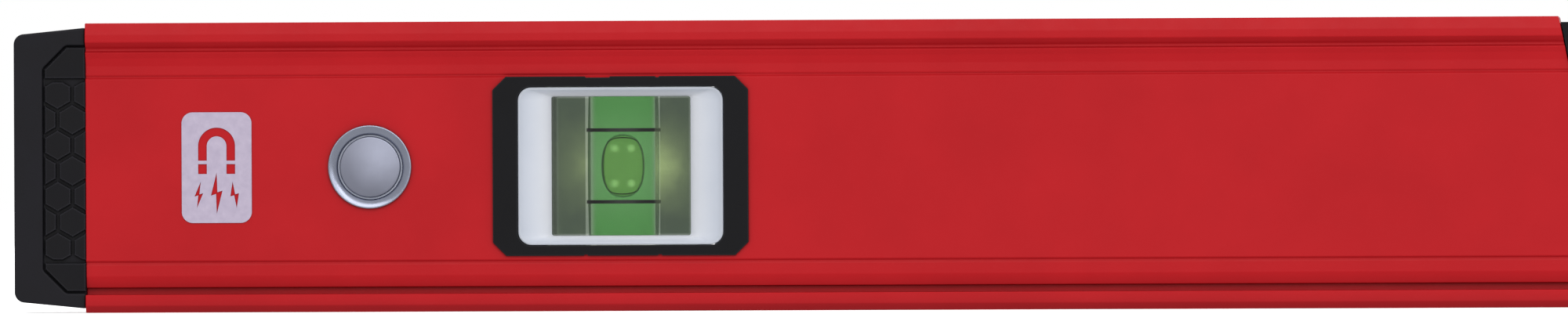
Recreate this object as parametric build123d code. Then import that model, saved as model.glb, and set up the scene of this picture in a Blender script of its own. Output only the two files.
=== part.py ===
from build123d import *
import os
from math import radians, sqrt, tan

# Box-section spirit level, 600 mm long, standing on its measuring face.
# Units are millimetres. +X runs along the level, -Y is the front, +Z is up.
# The origin is on the measuring face, midway along the level and across its thickness.

# Overall size
LENGTH = 600.0
HEIGHT = 50.0
THICKNESS = 22.0
MID_Z = HEIGHT / 2

# Extruded profile
PROFILE_HALF_LENGTH = 287.6
FLANGE_Y = THICKNESS / 2
WEB_Y = 10.0
BAND_Y = 9.8
V_LINE_Y = 9.6
TOP_BEVEL_HEIGHT = 2.0
TOP_BEVEL_DEPTH = 0.5
BOTTOM_BEVEL_HEIGHT = 1.2
BOTTOM_BEVEL_DEPTH = 0.5
TOP_FLANGE_HEIGHT = 3.3
BOTTOM_FLANGE_HEIGHT = 3.1
LOW_GROOVE_Y = 8.4
LOW_GROOVE_TOP = 4.3
LOW_SLOPE_Y = 9.3
LOW_SLOPE_TOP = 6.3
HIGH_GROOVE_Y = 9.9
HIGH_GROOVE_TOP = 45.6
HIGH_GROOVE_BOTTOM = 45.2
HIGH_LIP_Y = 10.45
HIGH_LIP_Z = 44.9
HIGH_SLOPE_Y = 10.05
HIGH_SLOPE_Z = 43.9
HIGH_SLOPE_BOTTOM = 42.6
LOW_V_LINE_Z = 8.6
HIGH_V_LINE_Z = 40.65
V_LINE_HALF_WIDTH = 0.35
CAVITY_HALF_WIDTH = 7.9
CAVITY_FLOOR = 5.8
CAVITY_RADIUS = 1.5

# Plumb vials and their windows
PLUMB_X = 195.1
WINDOW_WIDTH = 40.0
WINDOW_HEIGHT = 29.4
WINDOW_RADIUS = 1.0
BEZEL_WIDTH = 44.1
BEZEL_HEIGHT = 30.9
BEZEL_CORNER = 2.3
BEZEL_FRONT_Y = -10.5
COLLAR_WIDTH = 39.7
COLLAR_HEIGHT = 29.1
COLLAR_BACK_Y = -8.7
TRAY_WIDTH = 35.4
TRAY_HEIGHT = 27.2
TRAY_RADIUS = 2.3
TRAY_FRONT_Y = -10.2
TRAY_LIP = 0.4
TRAY_OPENING = 24.0
TRAY_CLEARANCE = 0.1
NOTCH_DEPTH = 0.2
BEZEL_NOTCHES = [(-3.9, 4.2, 1), (6.4, 0.6, 1), (-6.0, 0.6, -1), (6.8, 0.6, -1)]

# Solid-block vials
BLOCK_DEPTH = 17.2
PLUMB_BLOCK_WIDTH = 26.0
PLUMB_BLOCK_LENGTH = 28.0
CENTRE_BLOCK_WIDTH = 20.0
CENTRE_BLOCK_LENGTH = 52.0
BLOCK_CHAMFER = 0.3
BORE_MID_RADIUS = 6.25
BORE_END_RADIUS = 6.05
BORE_END_WALL = 1.4
PLUG_RADIUS = 6.5
PLUG_SEAT_RADIUS = 6.6
FLUID_GAP = 0.05
LINE_OFFSET = 6.2
LINE_WIDTH = 0.6
LINE_INNER_RADIUS = 6.21
LINE_OUTER_RADIUS = 6.4
LINE_GROOVE_RADIUS = 6.42
BUBBLE_RADIUS = 3.7
BUBBLE_HALF_LENGTH = 5.5
BUBBLE_OFFSET = 2.2
BUBBLE_CLEARANCE = 0.12

# Magnets
MAGNET_X = 238.4
MAGNET_HOLE_RADIUS = 6.8
MAGNET_CUP_RADIUS = 6.6
MAGNET_RIM_RADIUS = 7.2
MAGNET_RIM_Y = -10.6
MAGNET_CUP_BACK_Y = -5.4
MAGNET_POCKET_RADIUS = 5.6
MAGNET_POCKET_FLOOR_Y = -6.9
MAGNET_LIP_RADIUS = 6.95
MAGNET_LIP_DEPTH = 0.8
MAGNET_DISC_RADIUS = 5.25
MAGNET_DISC_FRONT_Y = -9.9
MAGNET_DISC_CHAMFER = 0.3
POTTING_FRONT_Y = -9.3

# Magnet sticker
LABEL_X = -264.9
LABEL_WIDTH = 12.1
LABEL_HEIGHT = 19.1
LABEL_RADIUS = 1.9
LABEL_THICKNESS = 0.15
HORSESHOE_RADIUS = 3.2
HORSESHOE_LEG_WIDTH = 1.5
HORSESHOE_CENTRE_Z = 28.7
HORSESHOE_LEG_LENGTH = 2.5
POLE_GAP = 0.6
POLE_HEIGHT = 1.7

# Centre vial
CUTOUT_TOP_HALF_WIDTH = 33.8
CUTOUT_SLANT = 12.0
CUTOUT_FLOOR = 22.0
CUTOUT_RADIUS = 3.0
HOUSING_TOP = 49.0
HOUSING_Y = 10.3
HOUSING_GAP = 0.15
HOUSING_CHAMFER = 0.4
CENTRE_VIAL_Z = 37.0
CENTRE_TRAY_WIDTH = 50.0
CENTRE_TRAY_HEIGHT = 19.0
CENTRE_TRAY_OPENING_WIDTH = 44.0
CENTRE_TRAY_OPENING_HEIGHT = 15.0
CENTRE_TRAY_FRONT_Y = -10.1
TOP_SLOT_LENGTH = 40.0
TOP_SLOT_WIDTH = 11.0
TOP_SLOT_RADIUS = 3.0
TOP_SLOT_CHAMFER = 0.8
BLOCK_POCKET_GAP = 0.1
RETAINER_BOTTOM = 24.2

# End caps
CAP_INNER_HEIGHT = 48.5
CAP_OUTER_HEIGHT = 46.4
CAP_Y = 10.4
CAP_CORNER_RADIUS = 1.8
CAP_EDGE_RADIUS = 0.9
PANEL_OUTER_X = 295.0
PANEL_BOTTOM = 3.4
PANEL_TOP = 46.2
PANEL_CORNER = 4.0
PANEL_DEPTH = 0.8
PAD_HEIGHT = 0.55
PAD_MARGIN = 0.3
PAD_TAPER = 25.0
SEPARATOR_BOTTOM = 8.9
SEPARATOR_TOP = 40.2
HEX_PITCH = 5.1
HEX_GROOVE = 0.5
HEX_ROWS = 7
HEX_COLUMN_X = 292.45
PLUG_INNER_X = 264.0
PLUG_HEAD_X = 296.0
PLUG_HALF_WIDTH = 7.6
PLUG_BOTTOM = 6.1
PLUG_HEAD_HALF_WIDTH = 7.0
PLUG_HEAD_BOTTOM = 6.9
PLUG_WALL = 1.8
PLUG_RIB_WIDTH = 1.2
PLUG_RIB_HEIGHT = 0.2


def slab(sketch, front_y, back_y):
    """A flat shape drawn in X and Z, made solid from front_y to back_y."""
    plane = Plane(origin=(0, back_y, 0), x_dir=(1, 0, 0), z_dir=(0, -1, 0))
    return extrude(plane * sketch, amount=back_y - front_y)


def polygon(points):
    """A flat shape with straight sides through the points."""
    return make_face(Polyline(*points, close=True))


def rounded(width, height, radius, x=0.0, z=0.0):
    """A rounded rectangle centred on x and z."""
    return Pos(x, z) * RectangleRounded(width, height, radius)


def round_bar(radius, front_y, back_y, x, z):
    """A cylinder along Y."""
    return slab(Pos(x, z) * Circle(radius), front_y, back_y)


def cone_bar(front_radius, back_radius, front_y, back_y, x, z):
    """A truncated cone along Y."""
    plane = Plane(origin=(x, back_y, z), x_dir=(1, 0, 0), z_dir=(0, -1, 0))
    depth = back_y - front_y
    align = (Align.CENTER, Align.CENTER, Align.MIN)
    return plane * Cone(back_radius, front_radius, depth, align=align)


def mirrored_x(shape):
    """The same piece at the other end of the level."""
    return mirror(shape, about=Plane.YZ)


def mirrored_y(shape):
    """The same piece on the other side of the level."""
    return mirror(shape, about=Plane.XZ)


def section_outline():
    """Corners of the profile's outline on its +Y side, from the bottom up."""
    return [
        (FLANGE_Y - BOTTOM_BEVEL_DEPTH, 0),
        (FLANGE_Y, BOTTOM_BEVEL_HEIGHT),
        (FLANGE_Y, BOTTOM_FLANGE_HEIGHT),
        (LOW_GROOVE_Y, BOTTOM_FLANGE_HEIGHT),
        (LOW_GROOVE_Y, LOW_GROOVE_TOP),
        (LOW_SLOPE_Y, LOW_GROOVE_TOP),
        (BAND_Y, LOW_SLOPE_TOP),
        (BAND_Y, LOW_V_LINE_Z - V_LINE_HALF_WIDTH),
        (V_LINE_Y, LOW_V_LINE_Z),
        (WEB_Y, LOW_V_LINE_Z + V_LINE_HALF_WIDTH),
        (WEB_Y, HIGH_V_LINE_Z - V_LINE_HALF_WIDTH),
        (V_LINE_Y, HIGH_V_LINE_Z),
        (BAND_Y, HIGH_V_LINE_Z + V_LINE_HALF_WIDTH),
        (BAND_Y, HIGH_SLOPE_BOTTOM),
        (HIGH_SLOPE_Y, HIGH_SLOPE_Z),
        (HIGH_LIP_Y, HIGH_LIP_Z),
        (HIGH_GROOVE_Y, HIGH_GROOVE_BOTTOM),
        (HIGH_GROOVE_Y, HIGH_GROOVE_TOP),
        (FLANGE_Y, HEIGHT - TOP_FLANGE_HEIGHT),
        (FLANGE_Y, HEIGHT - TOP_BEVEL_HEIGHT),
        (FLANGE_Y - TOP_BEVEL_DEPTH, HEIGHT),
    ]


def cutout_sketch(gap, top_z):
    """The slant-sided opening for the centre vial, shrunk by gap and ended at top_z."""
    slant = tan(radians(CUTOUT_SLANT))
    floor = CUTOUT_FLOOR + gap
    top = CUTOUT_TOP_HALF_WIDTH - (HEIGHT - top_z) * slant - gap
    bottom = CUTOUT_TOP_HALF_WIDTH - (HEIGHT - floor) * slant - gap
    corners = [(-top, top_z), (-bottom, floor), (bottom, floor), (top, top_z)]
    face = polygon(corners)
    return fillet(face.vertices().sort_by(Axis.Y)[:2], CUTOUT_RADIUS)


def make_profile():
    """Hollow extrusion with the openings for the vials and the magnets."""
    side = section_outline()
    outline = side + [(-y, z) for y, z in reversed(side)]
    cavity_height = HEIGHT - 2 * CAVITY_FLOOR
    cavity = Pos(0, MID_Z) * RectangleRounded(2 * CAVITY_HALF_WIDTH, cavity_height, CAVITY_RADIUS)
    plane = Plane(origin=(-PROFILE_HALF_LENGTH, 0, 0), x_dir=(0, 1, 0), z_dir=(1, 0, 0))
    body = extrude(plane * (polygon(outline) - cavity), amount=2 * PROFILE_HALF_LENGTH)
    for side_x in (-1, 1):
        window = rounded(WINDOW_WIDTH, WINDOW_HEIGHT, WINDOW_RADIUS, side_x * PLUMB_X, MID_Z)
        body -= slab(window, -THICKNESS, THICKNESS)
        body -= round_bar(MAGNET_HOLE_RADIUS, -THICKNESS, 0, side_x * MAGNET_X, MID_Z)
    body -= slab(cutout_sketch(0, HEIGHT + 1), -THICKNESS, THICKNESS)
    return body


def make_bezel():
    """Black frame of a plumb window at X = 0: an octagonal face and a collar behind it."""
    face = Rectangle(BEZEL_WIDTH, BEZEL_HEIGHT)
    face = chamfer(face.vertices(), BEZEL_CORNER)
    for x, width, side_z in BEZEL_NOTCHES:
        face -= Pos(x, side_z * BEZEL_HEIGHT / 2) * Rectangle(width, 2 * NOTCH_DEPTH)
    bezel = slab(Pos(0, MID_Z) * face, BEZEL_FRONT_Y, -WEB_Y)
    bezel += slab(rounded(COLLAR_WIDTH, COLLAR_HEIGHT, WINDOW_RADIUS, 0, MID_Z), -WEB_Y, COLLAR_BACK_Y)
    opening_width = TRAY_WIDTH + 2 * TRAY_CLEARANCE
    opening_height = TRAY_HEIGHT + 2 * TRAY_CLEARANCE
    opening_radius = TRAY_RADIUS + TRAY_CLEARANCE
    opening = rounded(opening_width, opening_height, opening_radius, 0, MID_Z)
    return bezel - slab(opening, -THICKNESS, 0)


def make_tray(outer, inner, front_y, z):
    """White reflector at X = 0: a rounded frame whose inner faces slope in to the vial."""
    back_y = -BLOCK_DEPTH / 2
    width, height, radius = outer
    frame = slab(rounded(width, height, radius, 0, z), front_y, back_y)
    mouth_radius = radius - TRAY_LIP
    mouth = rounded(width - 2 * TRAY_LIP, height - 2 * TRAY_LIP, mouth_radius, 0, z)
    throat = rounded(inner[0], inner[1], 0.4, 0, z)
    front = Plane(origin=(0, front_y, 0), x_dir=(1, 0, 0), z_dir=(0, -1, 0))
    back = Plane(origin=(0, back_y, 0), x_dir=(1, 0, 0), z_dir=(0, -1, 0))
    return frame - loft([back * throat, front * mouth])


def bore_form(half_length, gap):
    """The slightly barrel-shaped space of a bore along Z, shrunk by gap."""
    end_radius = BORE_END_RADIUS - gap
    end_z = half_length - gap
    wall = ThreePointArc((end_radius, -end_z), (BORE_MID_RADIUS - gap, 0), (end_radius, end_z))
    rest = Polyline((end_radius, end_z), (0, end_z), (0, -end_z), (end_radius, -end_z))
    return revolve(Plane.XZ * make_face([wall, rest]), Axis.Z)


def bubble_form(grow):
    """A bubble centred at the origin, long in Z, with sides fuller than an ellipse's."""
    radius = BUBBLE_RADIUS + grow
    half = BUBBLE_HALF_LENGTH + grow
    shoulder = (0.76 * radius, 0.72 * half)
    low_shoulder = (shoulder[0], -shoulder[1])
    points = [(0, -half), low_shoulder, (radius, 0), shoulder, (0, half)]
    side = Spline(*points, tangents=[(1, 0), (-1, 0)])
    return revolve(Plane.XZ * make_face([side, Line((0, half), (0, -half))]), Axis.Z)


def ring(outer, inner, height, z):
    """A plain ring round Z, centred on z."""
    return Pos(0, 0, z) * (Cylinder(outer, height) - Cylinder(inner, 2 * height))


def make_vial(width, depth, length):
    """All pieces of one vial with its bore along Z, centred at the origin."""
    bore_half = length / 2 - BORE_END_WALL
    seat_z = bore_half + BORE_END_WALL / 2
    block = chamfer(Box(width, depth, length).edges(), BLOCK_CHAMFER)
    block -= bore_form(bore_half, 0)
    block -= Pos(0, 0, seat_z) * Cylinder(PLUG_SEAT_RADIUS, BORE_END_WALL)
    plug = Pos(0, 0, seat_z) * Cylinder(PLUG_RADIUS, BORE_END_WALL)
    lines = []
    for side_z in (-1, 1):
        z = side_z * LINE_OFFSET
        block -= Pos(0, 0, z) * Cylinder(LINE_GROOVE_RADIUS, LINE_WIDTH + 0.02)
        lines.append(ring(LINE_OUTER_RADIUS, LINE_INNER_RADIUS, LINE_WIDTH, z))
    place = Pos(0, -BUBBLE_OFFSET, 0)
    fluid = bore_form(bore_half, FLUID_GAP) - place * bubble_form(BUBBLE_CLEARANCE)
    return {
        "vial_block": block,
        "vial_plug": plug,
        "vial_lines": Compound(children=lines),
        "vial_fluid": fluid,
        "vial_bubble": place * bubble_form(0),
    }


def make_magnet(x):
    """Dished steel cup, the magnet in it and the resin ring between them."""
    cup = round_bar(MAGNET_CUP_RADIUS, -WEB_Y, MAGNET_CUP_BACK_Y, x, MID_Z)
    cup += round_bar(MAGNET_RIM_RADIUS, MAGNET_RIM_Y, -WEB_Y, x, MID_Z)
    cup -= round_bar(MAGNET_POCKET_RADIUS, -THICKNESS, MAGNET_POCKET_FLOOR_Y, x, MID_Z)
    lip_back = MAGNET_RIM_Y + MAGNET_LIP_DEPTH
    cup -= cone_bar(MAGNET_LIP_RADIUS, MAGNET_POCKET_RADIUS, MAGNET_RIM_Y, lip_back, x, MID_Z)
    disc = round_bar(MAGNET_DISC_RADIUS, MAGNET_DISC_FRONT_Y, MAGNET_POCKET_FLOOR_Y, x, MID_Z)
    disc = chamfer(disc.edges().sort_by(Axis.Y)[0], MAGNET_DISC_CHAMFER)
    potting = round_bar(MAGNET_POCKET_RADIUS, POTTING_FRONT_Y, MAGNET_POCKET_FLOOR_Y, x, MID_Z)
    potting -= round_bar(MAGNET_DISC_RADIUS, -THICKNESS, 0, x, MID_Z)
    return {"magnet_cup": cup, "magnet_disc": disc, "magnet_potting": potting}


def flash(x, top, height, width, lean):
    """A plain zigzag flash, widest in the middle and pointed at both ends."""
    mid = top - height / 2
    tip = (x + lean, top)
    foot = (x - lean, top - height)
    left = (x - width / 2, mid - 0.06 * height)
    left_in = (x - 0.06 * width, mid - 0.02 * height)
    right = (x + width / 2, mid + 0.06 * height)
    right_in = (x + 0.06 * width, mid + 0.02 * height)
    return polygon([tip, left, left_in, foot, right, right_in])


def make_label():
    """Thin sticker with a horseshoe magnet and three flashes cut out of it."""
    x = LABEL_X
    arch = Circle(HORSESHOE_RADIUS) - Circle(HORSESHOE_RADIUS - HORSESHOE_LEG_WIDTH)
    arch -= Pos(0, -HORSESHOE_RADIUS) * Rectangle(3 * HORSESHOE_RADIUS, 2 * HORSESHOE_RADIUS)
    symbol = Pos(x, HORSESHOE_CENTRE_Z) * arch
    leg_x = HORSESHOE_RADIUS - HORSESHOE_LEG_WIDTH / 2
    pole_z = HORSESHOE_CENTRE_Z - HORSESHOE_LEG_LENGTH - POLE_GAP - POLE_HEIGHT / 2
    leg_z = HORSESHOE_CENTRE_Z - HORSESHOE_LEG_LENGTH / 2
    for side_x in (-1, 1):
        symbol += Pos(x + side_x * leg_x, leg_z) * Rectangle(HORSESHOE_LEG_WIDTH, HORSESHOE_LEG_LENGTH)
        symbol += Pos(x + side_x * leg_x, pole_z) * Rectangle(HORSESHOE_LEG_WIDTH, POLE_HEIGHT)
    symbol += flash(x - 3.1, 22.6, 4.6, 1.5, 0.35)
    symbol += flash(x, 24.2, 7.2, 2.0, 0.0)
    symbol += flash(x + 3.1, 22.6, 4.6, 1.5, -0.35)
    plate = rounded(LABEL_WIDTH, LABEL_HEIGHT, LABEL_RADIUS, x, MID_Z)
    return slab(plate - symbol, -WEB_Y - LABEL_THICKNESS, -WEB_Y)


def make_housing():
    """Black block that fills the centre cut-out and holds the horizontal vial."""
    housing = slab(cutout_sketch(HOUSING_GAP, HOUSING_TOP), -HOUSING_Y, HOUSING_Y)
    faces = housing.faces().sort_by(Axis.Y)
    housing = chamfer(faces[0].edges() + faces[-1].edges(), HOUSING_CHAMFER)
    tray_width = CENTRE_TRAY_WIDTH + 2 * TRAY_CLEARANCE
    tray_height = CENTRE_TRAY_HEIGHT + 2 * TRAY_CLEARANCE
    tray_radius = TRAY_RADIUS + TRAY_CLEARANCE
    tray = rounded(tray_width, tray_height, tray_radius, 0, CENTRE_VIAL_Z)
    housing -= slab(tray, -THICKNESS, THICKNESS)
    pocket_top = CENTRE_VIAL_Z + CENTRE_BLOCK_WIDTH / 2
    pocket_length = CENTRE_BLOCK_LENGTH + 2 * BLOCK_POCKET_GAP
    pocket_depth = BLOCK_DEPTH + 2 * BLOCK_POCKET_GAP
    pocket_align = (Align.CENTER, Align.CENTER, Align.MAX)
    housing -= Pos(0, 0, pocket_top) * Box(pocket_length, pocket_depth, pocket_top, align=pocket_align)
    slot = Plane.XY.offset(MID_Z) * RectangleRounded(TOP_SLOT_LENGTH, TOP_SLOT_WIDTH, TOP_SLOT_RADIUS)
    housing -= extrude(slot, amount=HEIGHT)
    rim = housing.faces().filter_by(Axis.Z).sort_by(Axis.Z)[-1]
    return chamfer(rim.inner_wires()[0].edges(), TOP_SLOT_CHAMFER)


def make_retainer():
    """Plate pushed in under the centre vial to keep it in its housing."""
    top = CENTRE_VIAL_Z - CENTRE_BLOCK_WIDTH / 2
    plate = Box(CENTRE_BLOCK_LENGTH, BLOCK_DEPTH, top - RETAINER_BOTTOM)
    plate = Pos(0, 0, (top + RETAINER_BOTTOM) / 2) * plate
    hollow = Box(CENTRE_BLOCK_LENGTH - 8, BLOCK_DEPTH - 6, 2)
    return plate - Pos(0, 0, RETAINER_BOTTOM) * hollow


def panel_sketch(margin):
    """The recessed panel of a cap's side, shrunk by margin on its three outer sides."""
    outer = PANEL_OUTER_X - margin
    bottom = PANEL_BOTTOM + margin
    top = PANEL_TOP - margin
    inner = PROFILE_HALF_LENGTH
    corner = PANEL_CORNER - 0.4 * margin
    return polygon(
        [
            (inner, bottom),
            (outer - corner, bottom),
            (outer, bottom + corner),
            (outer, top - corner),
            (outer - corner, top),
            (inner, top),
        ]
    )


def panel_pads():
    """The flat pads and the honeycomb that stand on a cap's recessed panel."""
    area = panel_sketch(PAD_MARGIN)
    bands = [
        (PANEL_BOTTOM, SEPARATOR_BOTTOM - HEX_GROOVE / 2),
        (SEPARATOR_TOP + HEX_GROOVE / 2, PANEL_TOP),
    ]
    pads = []
    for low, high in bands:
        band = Pos(PANEL_OUTER_X - 10, (low + high) / 2) * Rectangle(24, high - low)
        pads.append(area & band)
    low = SEPARATOR_BOTTOM + HEX_GROOVE / 2
    high = SEPARATOR_TOP - HEX_GROOVE / 2
    field = area & Pos(PANEL_OUTER_X - 10, (low + high) / 2) * Rectangle(24, high - low)
    middle = (low + high) / 2
    corner_radius = (HEX_PITCH - HEX_GROOVE) / sqrt(3)
    for row in range(HEX_ROWS):
        z = middle + (row - (HEX_ROWS - 1) / 2) * HEX_PITCH * sqrt(3) / 2
        first = HEX_COLUMN_X if row % 2 == 0 else HEX_COLUMN_X + HEX_PITCH / 2
        for column in range(2):
            x = first - column * HEX_PITCH
            hexagon = Pos(x, z) * Rot(0, 0, 30) * RegularPolygon(corner_radius, 6)
            pads.append(field & hexagon)
    return pads


def make_bumper():
    """Soft end cap, tapered in height, with a honeycomb panel on both sides."""
    outer_x = LENGTH / 2
    corners = [
        (PROFILE_HALF_LENGTH, MID_Z - CAP_INNER_HEIGHT / 2),
        (outer_x, MID_Z - CAP_OUTER_HEIGHT / 2),
        (outer_x, MID_Z + CAP_OUTER_HEIGHT / 2),
        (PROFILE_HALF_LENGTH, MID_Z + CAP_INNER_HEIGHT / 2),
    ]
    face = polygon(corners)
    face = fillet(face.vertices().sort_by(Axis.X)[2:], CAP_CORNER_RADIUS)
    body = slab(face, -CAP_Y, CAP_Y)
    sides = body.faces().filter_by(Axis.Y)
    rim = [e for side in sides for e in side.edges() if e.center().X > PROFILE_HALF_LENGTH + 0.1]
    body = fillet(rim, CAP_EDGE_RADIUS)
    floor_y = CAP_Y - PANEL_DEPTH
    front_floor = Plane(origin=(0, -floor_y, 0), x_dir=(1, 0, 0), z_dir=(0, -1, 0))
    recess = slab(panel_sketch(0), -CAP_Y - 1, -floor_y)
    body -= recess
    body -= mirrored_y(recess)
    for pad in panel_pads():
        raised = extrude(front_floor * pad, amount=PAD_HEIGHT, taper=PAD_TAPER)
        body += raised
        body += mirrored_y(raised)
    pocket = plug_head(0.05)
    return body - pocket


def plug_head(grow):
    """The part of the plug inside the soft cap."""
    length = PLUG_HEAD_X - PROFILE_HALF_LENGTH
    height = HEIGHT - 2 * PLUG_HEAD_BOTTOM + 2 * grow
    head = Box(length + grow, 2 * (PLUG_HEAD_HALF_WIDTH + grow), height)
    return Pos(PROFILE_HALF_LENGTH + (length + grow) / 2, 0, MID_Z) * head


def make_plug():
    """Hard plug: a ribbed hollow box in the profile and a head inside the soft cap."""
    length = PROFILE_HALF_LENGTH - PLUG_INNER_X
    height = HEIGHT - 2 * PLUG_BOTTOM
    middle_x = PLUG_INNER_X + length / 2
    start = Plane(origin=(PLUG_INNER_X, 0, MID_Z), x_dir=(0, 1, 0), z_dir=(1, 0, 0))
    box = extrude(start * RectangleRounded(2 * PLUG_HALF_WIDTH, height, CAVITY_RADIUS), amount=length)
    inner_width = 2 * (PLUG_HALF_WIDTH - PLUG_WALL)
    bay_height = (height - 3 * PLUG_WALL) / 2
    bay_z = (bay_height + PLUG_WALL) / 2
    for side_z in (-1, 1):
        bay = Pos(0, side_z * bay_z) * Rectangle(inner_width, bay_height)
        box -= extrude(start * bay, amount=length - PLUG_WALL)
    for side_y in (-1, 1):
        for z in (MID_Z - 11, MID_Z + 11):
            rib = Box(length - 4, PLUG_RIB_HEIGHT * 2, PLUG_RIB_WIDTH)
            box += Pos(middle_x, side_y * PLUG_HALF_WIDTH, z) * rib
    return box + plug_head(0)


def make_pieces():
    """Every piece by name, in its place."""
    pieces = {"profile": make_profile()}
    bumper = make_bumper()
    plug = make_plug()
    pieces["end_cap_bumper_right"] = bumper
    pieces["end_cap_bumper_left"] = mirrored_x(bumper)
    pieces["end_cap_plug_right"] = plug
    pieces["end_cap_plug_left"] = mirrored_x(plug)
    for side, sign in (("left", -1), ("right", 1)):
        for name, piece in make_magnet(sign * MAGNET_X).items():
            pieces[f"{name}_{side}"] = piece
    pieces["magnet_label_left"] = make_label()
    bezel = make_bezel()
    tray = make_tray(
        (TRAY_WIDTH, TRAY_HEIGHT, TRAY_RADIUS), (TRAY_OPENING, TRAY_OPENING), TRAY_FRONT_Y, MID_Z
    )
    vial = make_vial(PLUMB_BLOCK_WIDTH, BLOCK_DEPTH, PLUMB_BLOCK_LENGTH)
    for side, sign in (("left", -1), ("right", 1)):
        place = Pos(sign * PLUMB_X, 0, 0)
        pieces[f"vial_bezel_front_{side}"] = place * bezel
        pieces[f"vial_bezel_back_{side}"] = place * mirrored_y(bezel)
        pieces[f"vial_reflector_front_{side}"] = place * tray
        pieces[f"vial_reflector_back_{side}"] = place * mirrored_y(tray)
        for name, piece in vial.items():
            pieces[f"{name}_{side}"] = Pos(sign * PLUMB_X, 0, MID_Z) * piece
    lying = Plane(origin=(0, 0, CENTRE_VIAL_Z), x_dir=(0, -1, 0), z_dir=(1, 0, 0))
    for name, piece in make_vial(BLOCK_DEPTH, CENTRE_BLOCK_WIDTH, CENTRE_BLOCK_LENGTH).items():
        pieces[f"{name}_centre"] = lying.location * piece
    centre_tray = make_tray(
        (CENTRE_TRAY_WIDTH, CENTRE_TRAY_HEIGHT, TRAY_RADIUS),
        (CENTRE_TRAY_OPENING_WIDTH, CENTRE_TRAY_OPENING_HEIGHT),
        CENTRE_TRAY_FRONT_Y,
        CENTRE_VIAL_Z,
    )
    pieces["centre_vial_housing"] = make_housing()
    pieces["centre_vial_retainer"] = make_retainer()
    pieces["centre_vial_reflector_front"] = centre_tray
    pieces["centre_vial_reflector_back"] = mirrored_y(centre_tray)
    return pieces


os.makedirs("parts", exist_ok=True)
for node, shape in make_pieces().items():
    export_step(shape, f"parts/{node}.step")
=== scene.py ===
import math

import bmesh
import bpy
from mathutils import Matrix, Vector


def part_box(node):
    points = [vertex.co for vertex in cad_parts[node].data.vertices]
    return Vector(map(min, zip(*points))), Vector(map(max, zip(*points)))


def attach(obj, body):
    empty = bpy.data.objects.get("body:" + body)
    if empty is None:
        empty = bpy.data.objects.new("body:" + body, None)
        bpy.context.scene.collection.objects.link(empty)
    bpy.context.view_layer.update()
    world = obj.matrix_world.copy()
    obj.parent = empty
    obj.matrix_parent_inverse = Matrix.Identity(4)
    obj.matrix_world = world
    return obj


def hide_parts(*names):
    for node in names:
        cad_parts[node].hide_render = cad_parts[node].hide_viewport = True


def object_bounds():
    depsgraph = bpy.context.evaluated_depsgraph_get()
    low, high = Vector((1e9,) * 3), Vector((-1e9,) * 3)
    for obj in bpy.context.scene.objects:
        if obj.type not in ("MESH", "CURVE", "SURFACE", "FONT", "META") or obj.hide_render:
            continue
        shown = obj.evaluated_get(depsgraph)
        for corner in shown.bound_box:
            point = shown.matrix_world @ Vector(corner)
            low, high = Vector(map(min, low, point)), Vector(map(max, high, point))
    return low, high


# Looks of the box-section spirit level, in the CAD part's frame: +X along it, -Y the front. Named
# sizes are in millimetres and MM turns them into metres. Places in materials are in metres.

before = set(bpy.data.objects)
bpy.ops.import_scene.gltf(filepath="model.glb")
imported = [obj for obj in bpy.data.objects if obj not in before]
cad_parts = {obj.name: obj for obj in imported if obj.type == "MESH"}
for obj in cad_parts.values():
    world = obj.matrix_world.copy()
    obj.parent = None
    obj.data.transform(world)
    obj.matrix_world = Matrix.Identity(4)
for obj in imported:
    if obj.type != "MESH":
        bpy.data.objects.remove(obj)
cad_low, cad_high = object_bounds()
MM = 0.001

# ---------- mesh tools


def piece(name, mesh, body, node, material):
    """Links a mesh as a piece that stands for a CAD node and moves with a body."""
    obj = bpy.data.objects.new(name, mesh)
    bpy.context.scene.collection.objects.link(obj)
    obj.data.materials.clear()
    obj.data.materials.append(material)
    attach(obj, body)
    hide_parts(node)
    return obj


def mesh_from(bm):
    """Turns a bmesh into a mesh with outward normals."""
    bmesh.ops.recalc_face_normals(bm, faces=bm.faces)
    mesh = bpy.data.meshes.new("shape")
    bm.to_mesh(mesh)
    bm.free()
    return mesh


def prism(near_points, far_points):
    """A solid between two outlines that match point by point."""
    bm = bmesh.new()
    near = [bm.verts.new(point) for point in near_points]
    far = [bm.verts.new(point) for point in far_points]
    count = len(near)
    bm.faces.new(near)
    bm.faces.new(list(reversed(far)))
    for i in range(count):
        j = (i + 1) % count
        bm.faces.new((near[i], far[i], far[j], near[j]))
    return mesh_from(bm)


def prism_y(outline, y0, y1):
    """A solid with an outline in X and Z, from y0 to y1, in metres."""
    return prism([(x, y0, z) for x, z in outline], [(x, y1, z) for x, z in outline])


def prism_x(outline, x0, x1):
    """A solid with an outline in Y and Z, from x0 to x1, in metres."""
    return prism([(x0, y, z) for y, z in outline], [(x1, y, z) for y, z in outline])


def prism_z(outline, z0, z1):
    """A solid with an outline in X and Y, from z0 to z1, in metres."""
    return prism([(x, y, z0) for x, y in outline], [(x, y, z1) for x, y in outline])


def tube_of_loops(loops, close=False):
    """Joins a row of equal-length point loops with quads and caps the two ends."""
    bm = bmesh.new()
    rings = [[bm.verts.new(p) for p in loop] for loop in loops]
    count = len(rings[0])
    pairs = list(zip(rings, rings[1:]))
    if close:
        pairs.append((rings[-1], rings[0]))
    for a, b in pairs:
        for i in range(count):
            j = (i + 1) % count
            bm.faces.new((a[i], a[j], b[j], b[i]))
    if not close:
        bm.faces.new(rings[0])
        bm.faces.new(list(reversed(rings[-1])))
    return mesh_from(bm)


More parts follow.
